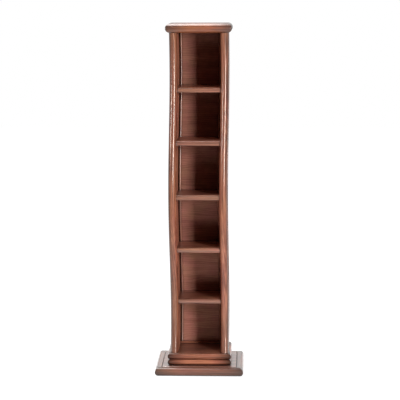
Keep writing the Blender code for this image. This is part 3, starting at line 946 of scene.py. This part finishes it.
def fastener_material(name, pattern, stops, roughness_span, metallic):
    """Material whose colour and roughness follow one noise."""
    material, tree, shader = new_material(name)
    mottle = noise(tree, place_of(tree), pattern)
    roughness = map_range(tree, mottle, *NOISE_MIDDLE, *roughness_span)
    feed(tree, shader, Base_Color=ramp(tree, mottle, stops), Roughness=roughness, Metallic=metallic)
    return material


def steel_material():
    """Bright zinc plate with a fine mottle."""
    return fastener_material("zinc_plate", ZINC_NOISE, ZINC_STOPS, ZINC_ROUGHNESS, 1.0)


def beech_material():
    """Bare beech with short flecks along the pin."""
    return fastener_material("bare_beech", BEECH_NOISE, BEECH_STOPS, BEECH_ROUGHNESS, 0.0)


def dress(piece, material):
    """Gives a piece its material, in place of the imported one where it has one."""
    if piece.material_slots:
        piece.material_slots[0].material = material
    else:
        piece.data.materials.append(material)


def dress_all():
    """Gives every piece a wood of its own, and the fasteners their metal and beech."""
    figure = wood_figure()
    for seed, (node, piece) in enumerate(sorted(finished.items()), 1):
        dress(piece, wood_material(piece, node, figure, seed))
    steel = steel_material()
    beech = beech_material()
    for node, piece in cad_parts.items():
        if node.startswith("base_screw"):
            dress(piece, steel)
        if node.startswith("cap_dowel"):
            dress(piece, beech)


# Floor: half its size, the near part's edge, greys that it bounces or shows, with a painted pool of light
# near the tower, and its glow, dimmed by painted shade at the tower's foot
FLOOR_HALF = 9.0
FLOOR_NEAR_SPAN = (0.9, 1.8)
FLOOR_FAR_GREY = 0.12
FLOOR_POOL_PAINTED_GREY = 0.45
FLOOR_SEEN_GREY = 0.30
FLOOR_ROUGHNESS = 0.9
FLOOR_LIFT = 0.88
FLOOR_SHEEN = 1.0
FAR_FLOOR_SHEEN = 0.65
PAINTED_FOOT_SHADE_SPAN = (0.16, 0.45)
FOOT_SHARE_OF_SHEEN = 0.5

# Surroundings by direction: the backdrop behind, the room in front, its ceiling, and their light
BACKDROP_SPAN = (0.15, 0.75)
HORIZON_SPAN = (0.02, 0.20)
CEILING_SPAN = (0.15, 0.40)
BACKDROP_FOOT = 0.45
BACKDROP_SHEEN = 1.0
ROOM_SHEEN = 0.65
CEILING_SHEEN = 0.35
ROOM_LIGHT = 0.01
BACKDROP_LIGHT = 0.40

# Lamps: where they stand and aim, their sizes and power
LAMP_AIM = (0, 0, 0.75)
KEY_DEGREES_RIGHT = 35.6
KEY_DISTANCE = 5.0
KEY_HEIGHT = 1.42
KEY_SIZE = (0.84, 1.75)
KEY_WATTS = 278
FILL_DEGREES_LEFT = 66
FILL_DISTANCE = 3.55
FILL_HEIGHT = 1.52
FILL_SIZE = (0.70, 0.70)
FILL_WATTS = 52
TOP_PLACE = (-0.4, 0.20, 2.5)
TOP_AIM = (-0.4, 0.20, 0)
TOP_SIZE = (1.0, 1.3)
TOP_WATTS = 45
BOUNCE_PLACE = (0, -0.8, 0.01)
BOUNCE_AIM = (0, -0.8, 1)
BOUNCE_SIZE = (1.3, 0.6)
BOUNCE_WATTS = 11
CARD_DISTANCE = 1.5
CARD_HEIGHT = 0.06
CARD_SIZE = (0.17, 0.17)
CARD_WATTS = 0.085
CARD_SPREAD_DEGREES = 16

# Photograph's camera: place, aim and lens, for a square picture
CAMERA_PLACE = (0.1939, -5.1835, 1.3261)
CAMERA_PITCH_DOWN = 0.14047
CAMERA_YAW_LEFT = 0.0373
CAMERA_ROLL = -0.0028
FOCAL_PIXELS = 1516.8
PICTURE_PIXELS = 400
SENSOR_WIDTH_MM = 36.0
FARTHEST_SEEN = 60


# Stage, light and camera

def grey(level):
    """A neutral colour."""
    return (level, level, level, 1)


def seen_rays(tree):
    """Two switches: one that is on for camera rays, and one that is on for all rays that show the white.

    Those are camera, glossy and transmitted rays that no diffuse bounce has scattered.
    """
    light_path = add_node(tree, "ShaderNodeLightPath").outputs
    camera = light_path["Is Camera Ray"]
    seen = maths(tree, "MAXIMUM", camera, light_path["Is Glossy Ray"])
    seen = maths(tree, "MAXIMUM", seen, light_path["Is Transmission Ray"])
    straight = maths(tree, "LESS_THAN", light_path["Diffuse Depth"], 0.5)
    return camera, maths(tree, "MULTIPLY", seen, straight)


def make_floor():
    """Pale floor that takes the shadow, lifted towards white where it is seen."""
    bpy.ops.mesh.primitive_plane_add(size=2 * FLOOR_HALF, location=(0, 0, 0))
    floor = bpy.context.object
    floor.name = "floor"
    material, tree, shader = new_material("pale_floor")
    length = add_node(tree, "ShaderNodeVectorMath", operation="LENGTH")
    reach = feed(tree, length, _0=place_of(tree)).outputs["Value"]
    near = map_range(tree, reach, *FLOOR_NEAR_SPAN, 1, 0)
    camera, seen = seen_rays(tree)
    # Painted pool of light: the floor that bounces rays is lighter near the tower
    bounced = mix_colour(tree, near, grey(FLOOR_FAR_GREY), grey(FLOOR_POOL_PAINTED_GREY))
    shown = mix_colour(tree, camera, bounced, grey(FLOOR_SEEN_GREY))
    feed(tree, shader, Base_Color=shown, Roughness=FLOOR_ROUGHNESS, Specular_IOR_Level=0.0)
    camera_glow = maths(tree, "MULTIPLY", camera, map_range(tree, near, 0, 1, 1.0, FLOOR_LIFT))
    # Painted shade: the floor's glow in reflections is dimmer near the tower's foot
    sheen_share_with_painted_shade = map_range(tree, reach, *PAINTED_FOOT_SHADE_SPAN, FOOT_SHARE_OF_SHEEN, 1)
    mirror_glow = maths(tree, "MULTIPLY", maths(tree, "SUBTRACT", seen, camera), sheen_share_with_painted_shade)
    sheen = map_range(tree, near, 0, 1, FAR_FLOOR_SHEEN, FLOOR_SHEEN)
    strength = maths(tree, "MULTIPLY_ADD", mirror_glow, sheen, camera_glow)
    glow = feed(tree, add_node(tree, "ShaderNodeEmission"), Color=grey(1), Strength=strength)
    both = add_node(tree, "ShaderNodeAddShader")
    feed(tree, both, _0=shader.outputs[0], _1=glow.outputs[0])
    feed(tree, tree.nodes["Material Output"], Surface=both.outputs[0])
    dress(floor, material)


def make_world():
    """White backdrop behind the tower, and a dimmer room in front. The camera sees white all round."""
    world = bpy.data.worlds.new("studio")
    bpy.context.scene.world = world
    world.use_nodes = True
    tree = world.node_tree
    direction = parts_of(tree, add_node(tree, "ShaderNodeTexCoord").outputs["Generated"])
    behind = map_range(tree, direction["Y"], *BACKDROP_SPAN, 0, 1)
    backdrop = map_range(tree, direction["Z"], *HORIZON_SPAN, BACKDROP_FOOT, BACKDROP_SHEEN)
    room = map_range(tree, direction["Z"], *CEILING_SPAN, ROOM_SHEEN, CEILING_SHEEN)
    sheen = mix_number(tree, behind, room, backdrop)
    light = map_range(tree, behind, 0, 1, ROOM_LIGHT, BACKDROP_LIGHT)
    camera, seen = seen_rays(tree)
    strength = maths(tree, "MAXIMUM", mix_number(tree, seen, light, sheen), camera)
    feed(tree, tree.nodes["Background"], Color=grey(1), Strength=strength)


def add_softbox(name, place, aim, size, watts):
    """A rectangular lamp that the camera doesn't see."""
    data = bpy.data.lights.new(name, "AREA")
    data.shape = "RECTANGLE"
    data.size, data.size_y = size
    data.energy = watts
    lamp = bpy.data.objects.new(name, data)
    bpy.context.scene.collection.objects.link(lamp)
    lamp.location = place
    lamp.rotation_euler = (Vector(aim) - Vector(place)).to_track_quat("-Z", "Y").to_euler()
    lamp.visible_camera = False
    return lamp


def around(degrees_right, distance, height):
    """A place round the tower, turned to the right from straight in front."""
    turn = math.radians(degrees_right)
    return (distance * math.sin(turn), -distance * math.cos(turn), height)


def make_lights():
    """Softboxes at the front right, at the left and overhead, and two helpers near the floor.

    One stands for light that the floor throws up, and no reflection shows it. The other is a small
    low card on the key's side, and only reflections show it.
    """
    key_place = around(KEY_DEGREES_RIGHT, KEY_DISTANCE, KEY_HEIGHT)
    add_softbox("key", key_place, LAMP_AIM, KEY_SIZE, KEY_WATTS)
    fill_place = around(-FILL_DEGREES_LEFT, FILL_DISTANCE, FILL_HEIGHT)
    add_softbox("fill", fill_place, LAMP_AIM, FILL_SIZE, FILL_WATTS)
    bounce = add_softbox("floor_bounce", BOUNCE_PLACE, BOUNCE_AIM, BOUNCE_SIZE, BOUNCE_WATTS)
    bounce.visible_glossy = False
    card_place = around(KEY_DEGREES_RIGHT, CARD_DISTANCE, CARD_HEIGHT)
    card = add_softbox("low_card", card_place, (0, 0, CARD_HEIGHT), CARD_SIZE, CARD_WATTS)
    card.visible_diffuse = False
    card.data.spread = math.radians(CARD_SPREAD_DEGREES)
    add_softbox("top", TOP_PLACE, TOP_AIM, TOP_SIZE, TOP_WATTS)


def make_camera():
    """Camera at the photograph's viewing angle."""
    data = bpy.data.cameras.new("camera")
    data.sensor_width = SENSOR_WIDTH_MM
    data.lens = FOCAL_PIXELS / PICTURE_PIXELS * SENSOR_WIDTH_MM
    data.clip_end = FARTHEST_SEEN
    camera = bpy.data.objects.new("camera", data)
    bpy.context.scene.collection.objects.link(camera)
    yaw = Matrix.Rotation(CAMERA_YAW_LEFT, 3, "Z")
    pitch = Matrix.Rotation(math.pi / 2 - CAMERA_PITCH_DOWN, 3, "X")
    roll = Matrix.Rotation(CAMERA_ROLL, 3, "Z")
    camera.rotation_euler = (yaw @ pitch @ roll).to_euler()
    camera.location = CAMERA_PLACE
    bpy.context.scene.camera = camera


def main():
    """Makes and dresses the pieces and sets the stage."""
    make_stiles()
    make_side_panels()
    make_back_panel()
    make_shelves()
    make_beads()
    make_edging()
    make_mouldings("lower_moulding")
    make_mouldings("upper_moulding")
    make_cap()
    for node in ("base_panel", "lower_plinth_board", "floor_board"):
        ease_board(node)
    dress_all()
    make_floor()
    make_world()
    make_lights()
    make_camera()
    bpy.context.scene.view_settings.view_transform = "Standard"


main()
